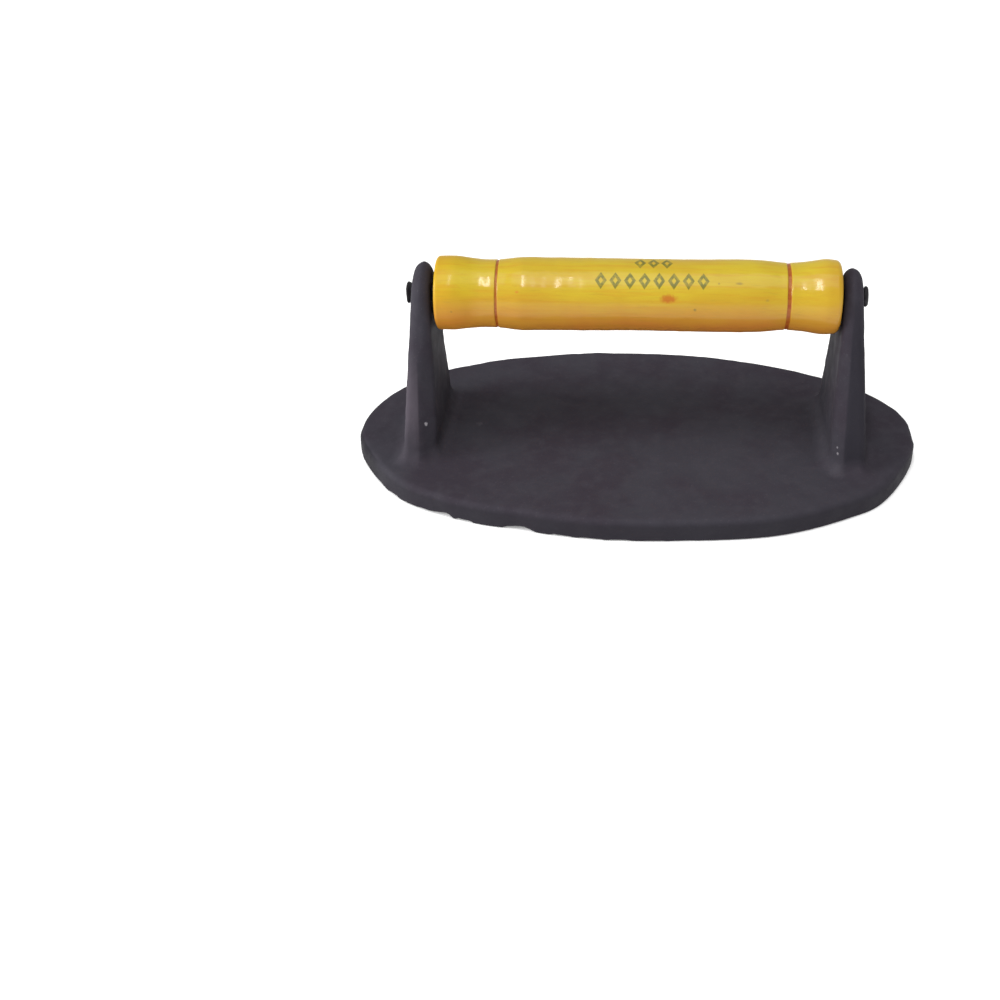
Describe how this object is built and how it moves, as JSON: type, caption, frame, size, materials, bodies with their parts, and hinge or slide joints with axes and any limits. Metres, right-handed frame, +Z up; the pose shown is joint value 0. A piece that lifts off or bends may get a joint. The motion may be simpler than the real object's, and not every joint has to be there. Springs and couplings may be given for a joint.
{
  "type": "bacon press",
  "caption": "Oval cast-iron bacon press with a studded underside and two upright ears that hold a turned wooden grip on a steel rod.",
  "frame": {"origin": "on the plane of the stud tips, under the middle of the oval plate", "axes": "+X along the handle and the plate's long axis, towards the rod's flat head; +Y across the handle; +Z up, from the studs to the grip"},
  "size_m": [0.2008, 0.1168, 0.0755],
  "materials": {
    "painted_iron": "black paint over rough sand-cast iron, dull satin, slightly worn on the stud tips",
    "rod_steel": "painted black with the casting, dull satin, hammered at one end",
    "lacquered_wood": "turned close-grained wood, yellow lacquer, glossy, with two thin red painted rings"
  },
  "bodies": {
    "press": {"press_casting": "painted_iron", "handle_rod": "rod_steel"},
    "grip": {"wooden_grip": "lacquered_wood"}
  },
  "joints": [
    {"name": "grip_spin", "type": "hinge", "parent": "press", "child": "grip", "pos_m": [0, 0, 0.0627], "axis": [1, 0, 0], "continuous": true}
  ]
}
